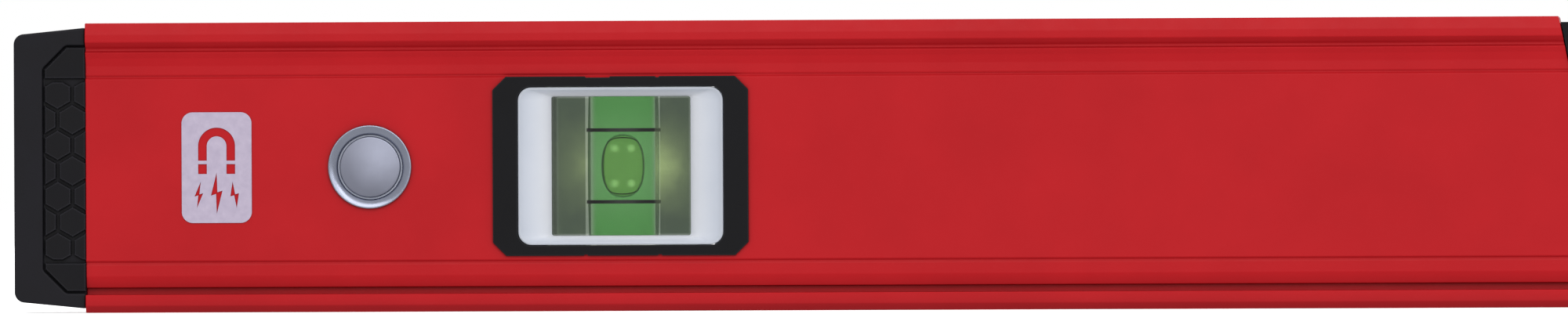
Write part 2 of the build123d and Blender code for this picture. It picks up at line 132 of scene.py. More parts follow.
def rounded_rect(width, height, radius, centre=(0.0, 0.0), steps=8):
    """Points of a rounded rectangle, anticlockwise from its right side."""
    points = []
    corners = [(1, 1, 0), (-1, 1, 90), (-1, -1, 180), (1, -1, 270)]
    for side_x, side_z, start in corners:
        cx = centre[0] + side_x * (width / 2 - radius)
        cz = centre[1] + side_z * (height / 2 - radius)
        for step in range(steps + 1):
            angle = math.radians(start + 90 * step / steps)
            points.append((cx + radius * math.cos(angle), cz + radius * math.sin(angle)))
    return points


def rect_mm(size, centre, steps=10):
    """A rounded rectangle, its width, height and corner radius in millimetres."""
    return rounded_rect(*[value * MM for value in size], centre, steps)


def rectangle(x0, z0, x1, z1):
    """Corners of a plain rectangle, from its low left, anticlockwise."""
    return [(x0, z0), (x1, z0), (x1, z1), (x0, z1)]


def lathe(profile, along, segments, close=False, centre=(0, 0, 0)):
    """Turns (radius, distance) pairs about a row axis through centre. Radii of 0 become poles."""
    axis = Vector(along).normalized()
    side = Vector((0, 0, 1)) if abs(axis.z) < 0.5 else Vector((1, 0, 0))
    side = (side - axis * side.dot(axis)).normalized()
    other = axis.cross(side)
    bm = bmesh.new()
    rings = []
    for radius, distance in profile:
        middle = Vector(centre) + axis * distance
        if radius < 1e-7:
            rings.append([bm.verts.new(middle)])
            continue
        ring = []
        for step in range(segments):
            angle = 2 * math.pi * step / segments
            ring.append(bm.verts.new(middle + radius * (side * math.cos(angle) + other * math.sin(angle))))
        rings.append(ring)
    pairs = list(zip(rings, rings[1:]))
    if close:
        pairs.append((rings[-1], rings[0]))
    for a, b in pairs:
        for i in range(segments):
            j = (i + 1) % segments
            if len(a) == 1:
                bm.faces.new((a[0], b[j], b[i]))
            elif len(b) == 1:
                bm.faces.new((a[i], a[j], b[0]))
            else:
                bm.faces.new((a[i], a[j], b[j], b[i]))
    return mesh_from(bm)


def joined(meshes):
    """One mesh of several, with the pieces kept apart."""
    bm = bmesh.new()
    for mesh in meshes:
        bm.from_mesh(mesh)
        bpy.data.meshes.remove(mesh)
    return mesh_from(bm)


def carve(mesh, cutters):
    """Cuts cutters out of a mesh with exact booleans and returns the new mesh."""
    base = bpy.data.objects.new("carve_base", mesh)
    bpy.context.scene.collection.objects.link(base)
    helpers = []
    for cutter in cutters:
        tool = bpy.data.objects.new("carve_tool", cutter)
        bpy.context.scene.collection.objects.link(tool)
        helpers.append(tool)
        step = base.modifiers.new("carve", "BOOLEAN")
        step.operation = "DIFFERENCE"
        step.solver = "EXACT"
        step.object = tool
    graph = bpy.context.evaluated_depsgraph_get()
    result = bpy.data.meshes.new_from_object(base.evaluated_get(graph))
    for obj in [base, *helpers]:
        old = obj.data
        bpy.data.objects.remove(obj)
        bpy.data.meshes.remove(old)
    bm = bmesh.new()
    bm.from_mesh(result)
    bpy.data.meshes.remove(result)
    bmesh.ops.remove_doubles(bm, verts=bm.verts, dist=1e-7)
    bmesh.ops.dissolve_limit(
        bm, angle_limit=math.radians(0.5), verts=bm.verts, edges=bm.edges, delimit={"NORMAL"}
    )
    return mesh_from(bm)


def soften(obj, width_mm, angle=28, segments=3):
    """Rounds an object's sharp edges and shades it smooth, with its flats kept flat."""
    for face in obj.data.polygons:
        face.use_smooth = True
    step = obj.modifiers.new("rounded_edges", "BEVEL")
    step.width = width_mm * MM
    step.segments = segments
    step.limit_method = "ANGLE"
    step.angle_limit = math.radians(angle)
    step.miter_outer = "MITER_ARC"
    flats = obj.modifiers.new("flat_normals", "WEIGHTED_NORMAL")
    flats.mode = "FACE_AREA"
    flats.weight = 100


def smooth(obj, angle=35):
    """Smooth shading with sharp edges kept where faces meet at more than angle."""
    for face in obj.data.polygons:
        face.use_smooth = True
    obj.data.set_sharp_from_angle(angle=math.radians(angle))


# ---------- material tools


def linear(red, green, blue):
    """An sRGB colour from 0-255 as the linear colour a shader takes."""
    out = []
    for value in (red, green, blue):
        value /= 255
        out.append(value / 12.92 if value <= 0.04045 else ((value + 0.055) / 1.055) ** 2.4)
    return (*out, 1.0)


def set_stops(node, stops):
    """Gives a colour ramp its (position, colour) stops."""
    elements = node.color_ramp.elements
    while len(elements) < len(stops):
        elements.new(0.5)
    for element, (position, colour) in zip(elements, stops):
        element.position = position
        element.color = colour


NOISE_SPAN = (0.3, 0.7)  # where noise mostly lies


class Nodes:
    """A material's node tree with short ways to add what the finishes below share."""

    def __init__(self, name):
        self.material = bpy.data.materials.new(name)
        self.material.use_nodes = True
        self.tree = self.material.node_tree
        self.shader = self.tree.nodes["Principled BSDF"]
        self.place = self.add("ShaderNodeTexCoord").outputs["Object"]

    def add(self, kind, **values):
        """A new node with the settings given."""
        node = self.tree.nodes.new(kind)
        for key, value in values.items():
            setattr(node, key, value)
        return node

    def link(self, source, target):
        """Joins an output to a socket."""
        self.tree.links.new(source, target)

    def set(self, **values):
        """Sets constants on the shader's own sockets; underscores stand for spaces."""
        for key, value in values.items():
            self.shader.inputs[key.replace("_", " ")].default_value = value

    def feed(self, *pairs):
        """Gives each socket its value: a number, a colour or another node's output."""
        for socket, value in pairs:
            if isinstance(value, bpy.types.NodeSocket):
                self.link(value, socket)
            else:
                socket.default_value = value

    def noise(self, scale, detail=3.0, roughness=0.55, stretch=None):
        """Noise in object space. scale is in cells per metre."""
        node = self.add("ShaderNodeTexNoise")
        for key, value in (("Scale", scale), ("Detail", detail), ("Roughness", roughness)):
            node.inputs[key].default_value = value
        source = self.place
        if stretch:
            mapping = self.add("ShaderNodeMapping")
            mapping.inputs["Scale"].default_value = stretch
            self.link(self.place, mapping.inputs["Vector"])
            source = mapping.outputs["Vector"]
        self.link(source, node.inputs["Vector"])
        return node.outputs["Fac"]

    def ramp(self, source, stops):
        """Colours source with (position, colour) stops."""
        node = self.add("ShaderNodeValToRGB")
        set_stops(node, stops)
        self.link(source, node.inputs["Fac"])
        return node.outputs["Color"]

    def tones(self, noise, dark, pale):
        """Mottles two colours with the noise."""
        return self.ramp(noise, list(zip(NOISE_SPAN, (dark, pale))))

    def spread(self, source, low, high, out_low, out_high):
        """Maps source from low-high to out_low-out_high, clamped."""
        node = self.add("ShaderNodeMapRange")
        limits = {"From Min": low, "From Max": high, "To Min": out_low, "To Max": out_high}
        for key, value in limits.items():
            node.inputs[key].default_value = value
        self.link(source, node.inputs["Value"])
        return node.outputs["Result"]

    def mix(self, factor, a, b):
        """Mixes two colours; a and b are colours or outputs, factor a number or an output."""
        node = self.add("ShaderNodeMix", data_type="RGBA", blend_type="MIX")
        self.feed((node.inputs[0], factor), (node.inputs[6], a), (node.inputs[7], b))
        return node.outputs[2]

    def maths(self, operation, a, b=0.0):
        """One arithmetic step on numbers or outputs."""
        node = self.add("ShaderNodeMath", operation=operation)
        self.feed((node.inputs[0], a), (node.inputs[1], b))
        return node.outputs[0]

    def distance(self, a, b):
        """The square root of a squared plus b squared."""
        return self.maths("SQRT", self.maths("ADD", self.maths("POWER", a, 2), self.maths("POWER", b, 2)))

    def axis(self, letter):
        """The object-space X, Y or Z."""
        node = self.add("ShaderNodeSeparateXYZ")
        self.link(self.place, node.inputs[0])
        return node.outputs[letter]

    def worn_and_lit_edge(self, radius_mm=0.3):
        """0 on flats, rising to 1 on edges that are sharper than the radius: the mask for paler edges, partly
        wear and partly painted highlight.
        """
        rounded = self.add("ShaderNodeBevel", samples=4)
        rounded.inputs["Radius"].default_value = radius_mm * MM
        geometry = self.add("ShaderNodeNewGeometry")
        turn = self.add("ShaderNodeVectorMath", operation="DOT_PRODUCT")
        self.link(rounded.outputs["Normal"], turn.inputs[0])
        self.link(geometry.outputs["True Normal"], turn.inputs[1])
        return self.spread(turn.outputs["Value"], 0.85, 0.99, 1.0, 0.0)

    def recess_shade(self, distance_mm):
        """0 in the open, rising towards 1 in corners and grooves: the mask for painted shade there."""
        shade = self.add("ShaderNodeAmbientOcclusion", samples=8)
        shade.inputs["Distance"].default_value = distance_mm * MM
        return self.spread(shade.outputs["AO"], 0.4, 0.97, 1.0, 0.0)

    def colour(self, source):
        """Drives the base colour."""
        self.link(source, self.shader.inputs["Base Color"])

    def roughness(self, noise, low, high):
        """Roughness that wanders from low to high with the noise."""
        wander = self.spread(noise, *NOISE_SPAN, low, high)
        self.link(wander, self.shader.inputs["Roughness"])

    def bump(self, layers):
        """Stacks (height, strength, distance in mm) bumps."""
        normal = None
        for height, strength, distance in layers:
            node = self.add("ShaderNodeBump")
            node.inputs["Strength"].default_value = strength
            node.inputs["Distance"].default_value = distance * MM
            self.link(height, node.inputs["Height"])
            if normal is not None:
                self.link(normal, node.inputs["Normal"])
            normal = node.outputs["Normal"]
        self.link(normal, self.shader.inputs["Normal"])


def powder_coat():
    """Red satin powder coat on the extrusion: orange peel, faint mottling, and painted shade in the grooves.
    """
    n = Nodes("red_powder_coat")
    mottling = n.noise(60, 4)
    grain = n.noise(2600, 2)
    base = n.tones(mottling, linear(186, 22, 30), linear(194, 25, 33))
    speck = n.spread(grain, 0.62, 0.75, 0.0, 0.16)
    coat = n.mix(speck, base, linear(205, 48, 54))
    # painted shade: the paint turns a dark red where grooves and corners hide the light
    n.colour(n.mix(n.maths("MULTIPLY", n.recess_shade(3.0), 0.5), coat, linear(104, 13, 18)))
    n.roughness(n.noise(420, 4), 0.40, 0.50)
    n.set(IOR=1.42, Specular_IOR_Level=0.2)
    peel = n.noise(1100, 2, 0.45)
    n.bump([(peel, 0.22, 0.05), (grain, 0.15, 0.02)])
    return n.material


def cap_rubber(name, dark, pale):
    """Soft black cap: matt with a fine spark-eroded grain, painted shade in its hollows, and paler edges,
    partly worn and partly a painted highlight.
    """
    n = Nodes(name)
    grain = n.noise(3200, 3)
    cloud = n.noise(120, 4)
    base = n.tones(cloud, dark, pale)
    # painted shade: near black in the grooves and corners
    shaded = n.mix(n.recess_shade(1.2), base, linear(2, 2, 3))
    # paler edges: partly wear, partly a painted highlight
    n.colour(n.mix(n.worn_and_lit_edge(), shaded, linear(58, 57, 64)))
    n.roughness(cloud, 0.55, 0.68)
    n.set(Specular_IOR_Level=0.2)
    n.bump([(grain, 0.35, 0.04), (n.noise(500, 2), 0.15, 0.05)])
    return n.material


def black_plastic():
    """Moulded black frame plastic with a fine grain, its edges paler, partly from wear and partly as a
    painted highlight.
    """
    n = Nodes("black_plastic")
    cloud = n.noise(90, 4)
    base = n.tones(cloud, linear(14, 14, 17), linear(19, 19, 23))
    # paler edges: partly wear, partly a painted highlight
    n.colour(n.mix(n.worn_and_lit_edge(), base, linear(52, 53, 57)))
    n.roughness(cloud, 0.42, 0.54)
    n.set(Specular_IOR_Level=0.15)
    n.bump([(n.noise(2800, 2), 0.3, 0.03)])
    return n.material


def white_plastic():
    """Satin white reflector plastic, faintly cool, with slight sink marks; painted light makes it paler
    towards the vial and painted shade darker out at the mouth.
    """
    n = Nodes("white_plastic")
    cloud = n.noise(110, 3)
    depth = n.maths("ABSOLUTE", n.axis("Y"))
    # painted light and shade: paler further in, towards the vial, darker at the mouth
    painted_shading = n.spread(depth, 0.0086, 0.0101, 1.0, 0.0)
    tone = n.maths("ADD", painted_shading, n.spread(cloud, 0.3, 0.7, -0.06, 0.06))
    n.colour(n.ramp(tone, [(0.0, linear(206, 212, 224)), (1.0, linear(238, 242, 252))]))
    n.roughness(cloud, 0.28, 0.38)
    n.set(Specular_IOR_Level=0.3, Subsurface_Weight=0.4, Subsurface_Radius=(1, 1, 1), Subsurface_Scale=0.0015)
    n.bump([(n.noise(260, 2), 0.1, 0.05), (n.noise(3000, 2), 0.1, 0.01)])
    return n.material


def plug_plastic():
    """Hard black plug plastic."""
    n = Nodes("plug_plastic")
    cloud = n.noise(100, 4)
    n.colour(n.tones(cloud, linear(38, 38, 40), linear(50, 50, 53)))
    n.roughness(cloud, 0.5, 0.62)
    n.bump([(n.noise(2400, 2), 0.3, 0.03)])
    return n.material


def nickel(name, colour, rough, brushing, highlight_spot=None):
    """Nickel plate with fine hairlines and a little haze; given a spot (x, z, mm), a painted highlight pales
    it round that spot, and it is darker away from it.
    """
    n = Nodes(name)
    haze = n.noise(240, 4)
    plate = n.tones(haze, tuple(0.9 * c for c in colour[:3]) + (1.0,), colour)
    if highlight_spot:
        # painted highlight: a soft pale area round the spot, with the rest of the plate darker
        from_x = n.maths("SUBTRACT", n.axis("X"), highlight_spot[0] * MM)
        from_z = n.maths("SUBTRACT", n.axis("Z"), highlight_spot[1] * MM)
        highlight_tone = n.spread(n.distance(from_x, from_z), 0.0005, 0.0055, 1.0, 0.0)
        highlight_mask = n.maths("MULTIPLY", highlight_tone, n.spread(haze, 0.3, 0.7, 0.7, 1.0))
        darker = tuple(0.6 * c for c in colour[:3]) + (1.0,)
        plate = n.mix(highlight_mask, darker, plate)
    n.colour(plate)
    n.roughness(haze, rough - 0.05, rough + 0.07)
    n.set(Metallic=1.0)
    n.bump([(n.noise(1500, 3, stretch=(1, 1, 0.15)), brushing, 0.01)])
    return n.material


def resin():
    """Pale grey potting resin, which lies in the shade of the cup."""
    n = Nodes("potting_resin")
    cloud = n.noise(400, 3)
    n.colour(n.tones(cloud, linear(188, 193, 208), linear(205, 210, 222)))
    n.roughness(cloud, 0.12, 0.22)
    n.bump([(n.noise(700, 2), 0.4, 0.05)])
    return n.material


def label_film():
    """Pale printed film with a slightly pearly, uneven print."""
    n = Nodes("label_film")
    cloud = n.noise(700, 4)
    n.colour(n.tones(cloud, linear(186, 174, 198), linear(200, 188, 210)))
    n.roughness(cloud, 0.38, 0.5)
    n.bump([(n.noise(1800, 2), 0.12, 0.01)])
    return n.material


def line_black():
    """Black ink of the reading lines."""
    n = Nodes("line_black")
    n.colour(n.tones(n.noise(900, 2), linear(8, 12, 10), linear(18, 24, 20)))
    n.roughness(n.noise(600, 2), 0.4, 0.5)
    return n.material


def from_bore(n, lying):
    """How far a point is from the middle of its vial, across the bore and along it."""
    across, along = ("Z", "X") if lying else ("X", "Z")
    return n.maths("ABSOLUTE", n.axis(across)), n.maths("ABSOLUTE", n.axis(along))


def acrylic(name, lying):
    """Block in painted tones: painted light makes it paler and greener beside the middle of the bore, and
    painted shade dulls it to a dark olive away from it.

    A strip over the bore is clear, a little wider on the low side, and the rest is cloudier. The
    lying block's top face is clear too, because it is looked into through the housing's slot."""
    n = Nodes(name)
    sideways = n.axis("Z" if lying else "X")
    across, along = from_bore(n, lying)
    # painted light: paler beside the middle of the bore, fading along it and away from it, stronger on the
    # high side
    beside = n.spread(across, 0.0062, 0.0122, 1.0, 0.2)
    level = n.spread(along, 0.0005, 0.0095, 1.0, 0.0)
    uneven = n.spread(sideways, -0.0066, 0.0066, 0.55, 1.0)
    painted_glow = n.maths("MULTIPLY", n.maths("MULTIPLY", beside, level), uneven)
    cloud = n.spread(n.noise(420, 3), 0.35, 0.65, -0.05, 0.05)
    olive = n.ramp(
        n.maths("ADD", painted_glow, cloud),
        [(0.0, linear(80, 95, 78)), (0.35, linear(106, 123, 92)), (1.0, linear(172, 194, 132))],
    )
    # painted light: a pale band round the upright block's edges
    edge_light = n.spread(n.maths("MAXIMUM", across, along), 0.01165, 0.0118, 0.0, 0.55)
    with_edge_light = olive if lying else n.mix(edge_light, olive, linear(150, 160, 150))
    # the clear strip stops short of the high-side wall, so a thin line of the painted dark shade lies over
    # that wall
    low_side = n.spread(sideways, -0.0062, -0.0061, 0.0, 1.0)
    high_side = n.spread(sideways, 0.0058, 0.0059, 1.0, 0.0)
    over_bore = n.maths("MULTIPLY", low_side, high_side)
    if lying:
        top_face = n.spread(sideways, 0.0094, 0.0096, 0.0, 1.0)
        over_bore = n.maths("MAXIMUM", over_bore, top_face)
    n.colour(n.mix(over_bore, with_edge_light, linear(236, 243, 232)))
    n.link(n.spread(over_bore, 0.0, 1.0, 0.72, 1.0), n.shader.inputs["Transmission Weight"])
    n.set(IOR=1.49)
    n.roughness(n.noise(300, 2), 0.02, 0.06)
    n.bump([(n.noise(180, 2), 0.05, 0.05)])
    return n.material


def green_fluid(name, lying):
    """Dyed vial fluid, inside the block, so its index is relative to the block's. Painted shade darkens it
    towards the ends of the bore, and a painted pale grey band stands in for the light at the bore's walls.
    """
    n = Nodes(name)
    across, along = from_bore(n, lying)
    # painted shade: darker green towards the ends of the bore
    painted_shading = n.spread(along, 0.003, 0.010, 0.0, 0.9)
    tone = n.maths("ADD", painted_shading, n.spread(n.noise(80, 2), 0.3, 0.7, -0.08, 0.08))
    green = n.ramp(tone, [(0.0, linear(112, 170, 108)), (1.0, linear(90, 158, 86))])
    # painted light: a pale grey band at the walls of the bore
    wall = n.spread(across, 0.0049, 0.0055, 0.0, 0.85)
    n.colour(n.mix(wall, green, linear(146, 168, 144)))
    n.set(IOR=1.0, Transmission_Weight=0.85)
    n.roughness(n.noise(150, 2), 0.0, 0.02)
    return n.material


def bubble_clear(name, lying):
    """The bubble's wall, inside the fluid, so its index is relative to the fluid's.

    A painted dark teal rim shades it where it turns away, and four soft painted glints, lit from within,
    stand in for the lights it catches."""
    n = Nodes(name)
    across, along = from_bore(n, lying)
    off_across = n.maths("SUBTRACT", across, 0.0015)
    off_along = n.maths("SUBTRACT", along, 0.0031)
    # painted highlights: four soft glints that give off light of their own
    painted_glints = n.spread(n.distance(off_across, off_along), 0.0003, 0.0009, 1.0, 0.0)
    turn = n.add("ShaderNodeLayerWeight")
    turn.inputs["Blend"].default_value = 0.5
    # painted shade: the wall turns dark teal where it turns away
    rim = n.spread(turn.outputs["Facing"], 0.5, 0.85, 0.0, 1.0)
    n.colour(n.mix(rim, linear(252, 246, 200), linear(24, 112, 88)))
    n.link(n.maths("MULTIPLY", painted_glints, 0.2), n.shader.inputs["Emission Strength"])
    n.set(IOR=0.95, Transmission_Weight=1.0, Emission_Color=(0.95, 1.0, 0.8, 1))
    n.roughness(n.noise(150, 2), 0.0, 0.01)
    return n.material


RED = powder_coat()
RUBBER = cap_rubber("cap_rubber", linear(20, 19, 24), linear(28, 27, 33))
PAD_RUBBER = cap_rubber("cap_rubber_pads", linear(12, 11, 15), linear(18, 17, 22))
BLACK = black_plastic()
WHITE = white_plastic()
PLUG = plug_plastic()
CUP_METAL = nickel("magnet_steel", linear(158, 163, 180), 0.27, 0.2)
# the magnet's face carries a painted highlight round (1.6, 0.8) mm
FACE_METAL = nickel("magnet_face", linear(172, 175, 193), 0.38, 0.5, (1.6, 0.8))
RESIN = resin()
FILM = label_film()
INK = line_black()
ACRYLIC = acrylic("vial_acrylic", False)
ACRYLIC_LYING = acrylic("vial_acrylic_lying", True)
FLUID = green_fluid("green_fluid", False)
FLUID_LYING = green_fluid("green_fluid_lying", True)
BUBBLE = bubble_clear("bubble_clear", False)
BUBBLE_LYING = bubble_clear("bubble_clear_lying", True)

# ---------- where the CAD nodes are


def centre_of(node):
    """The middle of a CAD node's box."""
    low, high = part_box(node)
    return (low + high) / 2


_, profile_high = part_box("profile")
HALF_LENGTH = profile_high.x
HEIGHT = profile_high.z
FLANGE_Y = profile_high.y
FLANGE_MM = FLANGE_Y / MM
MID_Z = HEIGHT / 2

# ---------- profile

WEB_Y = 10.0
BAND_Y = 9.8
V_LINE_Y = 9.6
LOW_V_LINE_Z = 8.6
HIGH_V_LINE_Z = 40.65
V_LINE_HALF_WIDTH = 0.35
TOP_BEVEL = (0.5, 2.0)
BOTTOM_BEVEL = (0.5, 1.2)
LOW_GROOVE = (8.4, 3.1, 4.3)
LOW_SLOPE = (9.3, 6.3)
HIGH_GROOVE = (9.9, 45.2, 45.6)
HIGH_LIP = (10.45, 44.9)
HIGH_SLOPE = (10.05, 43.9, 42.6)
HIGH_FLANGE_Z = 46.7
CAVITY_HALF_WIDTH = 7.9
CAVITY_FLOOR = 5.8
CAVITY_RADIUS = 1.5
WINDOW = (40.0, 29.4, 1.0)  # width, height, corner radius
CUTOUT_TOP_HALF_WIDTH = 33.8
CUTOUT_SLANT = 12.0
CUTOUT_FLOOR = 22.0
CUTOUT_RADIUS = 3.0
MAGNET_HOLE_RADIUS = 6.8
LEVEL_HEIGHT = HEIGHT / MM
LEVEL_END = cad_high[0] / MM
REACH = 0.03  # metres from the middle plane to a cutter's end, outside every piece


def section():
    """The profile's outline on its +Y side, from the bottom up, in millimetres."""
    groove_y, groove_low, groove_high = LOW_GROOVE
    slope_y, slope_top = LOW_SLOPE
    high_y, high_low, high_top = HIGH_GROOVE
    step_y, step_z, foot_z = HIGH_SLOPE
    return [
        (FLANGE_MM - BOTTOM_BEVEL[0], 0.0),
        (FLANGE_MM, BOTTOM_BEVEL[1]),
        (FLANGE_MM, groove_low),
        (groove_y, groove_low),
        (groove_y, groove_high),
        (slope_y, groove_high),
        (BAND_Y, slope_top),
        (BAND_Y, LOW_V_LINE_Z - V_LINE_HALF_WIDTH),
        (V_LINE_Y, LOW_V_LINE_Z),
        (WEB_Y, LOW_V_LINE_Z + V_LINE_HALF_WIDTH),
        (WEB_Y, HIGH_V_LINE_Z - V_LINE_HALF_WIDTH),
        (V_LINE_Y, HIGH_V_LINE_Z),
        (BAND_Y, HIGH_V_LINE_Z + V_LINE_HALF_WIDTH),
        (BAND_Y, foot_z),
        (step_y, step_z),
        HIGH_LIP,
        (high_y, high_low),
        (high_y, high_top),
        (FLANGE_MM, HIGH_FLANGE_Z),
        (FLANGE_MM, LEVEL_HEIGHT - TOP_BEVEL[1]),
        (FLANGE_MM - TOP_BEVEL[0], LEVEL_HEIGHT),
    ]


def cutout_outline(gap, top, steps=6):
    """The slant-sided centre opening, shrunk by gap, from top down, in metres."""
    slant = math.tan(math.radians(CUTOUT_SLANT))
    floor = CUTOUT_FLOOR + gap
    half_top = CUTOUT_TOP_HALF_WIDTH - (LEVEL_HEIGHT - top) * slant - gap
    half_floor = CUTOUT_TOP_HALF_WIDTH - (LEVEL_HEIGHT - floor) * slant - gap
    lean = math.radians(90 - CUTOUT_SLANT)
    radius = CUTOUT_RADIUS
    tangent = radius * math.tan(lean / 2)
    right = []
    centre = (half_floor - tangent, floor + radius)
    for step in range(steps + 1):
        angle = -math.pi / 2 + lean * step / steps
        right.append((centre[0] + radius * math.cos(angle), centre[1] + radius * math.sin(angle)))
    right.append((half_top, top))
    left = [(-x, z) for x, z in reversed(right)]
    return [(x * MM, z * MM) for x, z in right + left]


def build_profile():
    """The red extrusion, with its cavity, windows, magnet holes and centre cut-out."""
    side = section()
    outline = [(y * MM, z * MM) for y, z in side + [(-y, z) for y, z in reversed(side)]]
    body = prism_x(outline, -HALF_LENGTH, HALF_LENGTH)
    cavity_size = (2 * CAVITY_HALF_WIDTH, LEVEL_HEIGHT - 2 * CAVITY_FLOOR, CAVITY_RADIUS)
    cavity = rect_mm(cavity_size, (0, MID_Z), 4)
    hole = MAGNET_HOLE_RADIUS * MM
    cutters = [prism_x(cavity, -HALF_LENGTH - 0.01, HALF_LENGTH + 0.01)]
    for side_name in ("left", "right"):
        middle = centre_of(f"vial_block_{side_name}").x
        cutters.append(prism_y(rect_mm(WINDOW, (middle, MID_Z), 4), -REACH, REACH))
        magnet = centre_of(f"magnet_cup_{side_name}")
        drill = rectangle(0, 0, hole, REACH)
        cutters.append(lathe(drill, (0, 1, 0), 64, centre=(magnet.x, -REACH, magnet.z)))
    cutters.append(prism_y(cutout_outline(0, LEVEL_HEIGHT + 2), -REACH, REACH))
    mesh = carve(body, cutters)
    obj = piece("profile_shell", mesh, "level", "profile", RED)
    soften(obj, 0.14, 10, 3)


build_profile()

# ---------- end caps

CAP_Y = 10.4
PANEL_OUTER = 295.0
PANEL_LOW = 3.4
PANEL_HIGH = 46.2
PANEL_CORNER = 4.0
PANEL_DEPTH = 0.8
PAD_HEIGHT = 0.55
PAD_MARGIN = 0.3
SEPARATOR_LOW = 8.9
SEPARATOR_HIGH = 40.2
HEX_PITCH = 5.1
HEX_GROOVE = 0.5
HEX_COLUMN = 292.45
HEX_ROWS = 7
HEX_COLUMNS = 2
CAP_INNER_GAP = 0.75
CAP_OUTER_GAP = 1.8
CAP_CORNER = 1.8
PLUG_POCKET = (14.1, 36.3, 0.5)


def clip(polygon, keep):
    """Clips a convex polygon to the half-planes keep, each (nx, nz, d): nx*x + nz*z <= d."""
    for nx, nz, d in keep:
        out = []
        for i, p in enumerate(polygon):
            q = polygon[(i + 1) % len(polygon)]
            a = nx * p[0] + nz * p[1] - d
            b = nx * q[0] + nz * q[1] - d
            if a <= 0:
                out.append(p)
            if a * b < 0:
                t = a / (a - b)
                out.append((p[0] + t * (q[0] - p[0]), p[1] + t * (q[1] - p[1])))
        polygon = out
        if len(polygon) < 3:
            return []
    return polygon


def inset(polygon, distance):
    """A convex anticlockwise polygon with each side moved in by distance."""
    planes = []
    for i, (x0, z0) in enumerate(polygon):
        x1, z1 = polygon[(i + 1) % len(polygon)]
        length = math.hypot(x1 - x0, z1 - z0)
        if length < 1e-6:
            continue
        nx, nz = (z1 - z0) / length, -(x1 - x0) / length
        planes.append((nx, nz, nx * x0 + nz * z0 - distance))
    return clip(polygon, planes)


def panel_planes(margin):
    """The recessed panel's outer sides as half-planes, shrunk by margin."""
    diagonal = math.sqrt(0.5)
    low_corner = diagonal * (PANEL_OUTER - PANEL_CORNER - PANEL_LOW)
    high_corner = diagonal * (PANEL_OUTER - PANEL_CORNER + PANEL_HIGH)
    return [
        (1, 0, PANEL_OUTER - margin),
        (0, -1, -PANEL_LOW - margin),
        (0, 1, PANEL_HIGH - margin),
        (diagonal, -diagonal, low_corner - margin),
        (diagonal, diagonal, high_corner - margin),
    ]


def pad_mesh(polygon, floor_y, side_y, sign_x):
    """A raised pad with sloping sides on the panel's floor."""
    top = inset(polygon, 0.2)
    mid = inset(polygon, 0.07)
    if not (len(polygon) == len(top) == len(mid)):
        return None
    loops = []
    for outline, height in ((polygon, -0.1), (polygon, 0.1), (mid, 0.42), (top, PAD_HEIGHT)):
        y = side_y * (floor_y + height)
        loops.append([(sign_x * x * MM, y * MM, z * MM) for x, z in outline])
    return tube_of_loops(loops)


def cap_pads(sign_x, side_y):
    """The flat pads and honeycomb of one side of one cap."""
    floor_y = CAP_Y - PANEL_DEPTH
    inner = profile_high.x / MM
    area = rectangle(inner, PANEL_LOW, LEVEL_END, PANEL_HIGH)
    meshes = []
    bands = [
        (PANEL_LOW, SEPARATOR_LOW - HEX_GROOVE / 2),
        (SEPARATOR_HIGH + HEX_GROOVE / 2, PANEL_HIGH),
    ]
    polygons = []
    for low, high in bands:
        limits = panel_planes(PAD_MARGIN) + [(0, -1, -low), (0, 1, high)]
        polygons.append(clip(area, limits))
    low = SEPARATOR_LOW + HEX_GROOVE / 2
    high = SEPARATOR_HIGH - HEX_GROOVE / 2
    limits = panel_planes(PAD_MARGIN) + [(0, -1, -low), (0, 1, high), (-1, 0, -inner)]
    radius = (HEX_PITCH - HEX_GROOVE) / math.sqrt(3)
    for row in range(HEX_ROWS):
        z = (low + high) / 2 + (row - HEX_ROWS // 2) * HEX_PITCH * math.sqrt(3) / 2
        first = HEX_COLUMN if row % 2 == 0 else HEX_COLUMN + HEX_PITCH / 2
        for column in range(HEX_COLUMNS):
            x = first - column * HEX_PITCH
            corners = [math.radians(30 + 60 * k) for k in range(6)]
            hexagon = [(x + radius * math.cos(a), z + radius * math.sin(a)) for a in corners]
            polygons.append(clip(hexagon, limits))
    for polygon in polygons:
        if len(polygon) < 3:
            continue
        mesh = pad_mesh(polygon, floor_y, side_y, sign_x)
        if mesh is not None:
            meshes.append(mesh)
    return meshes


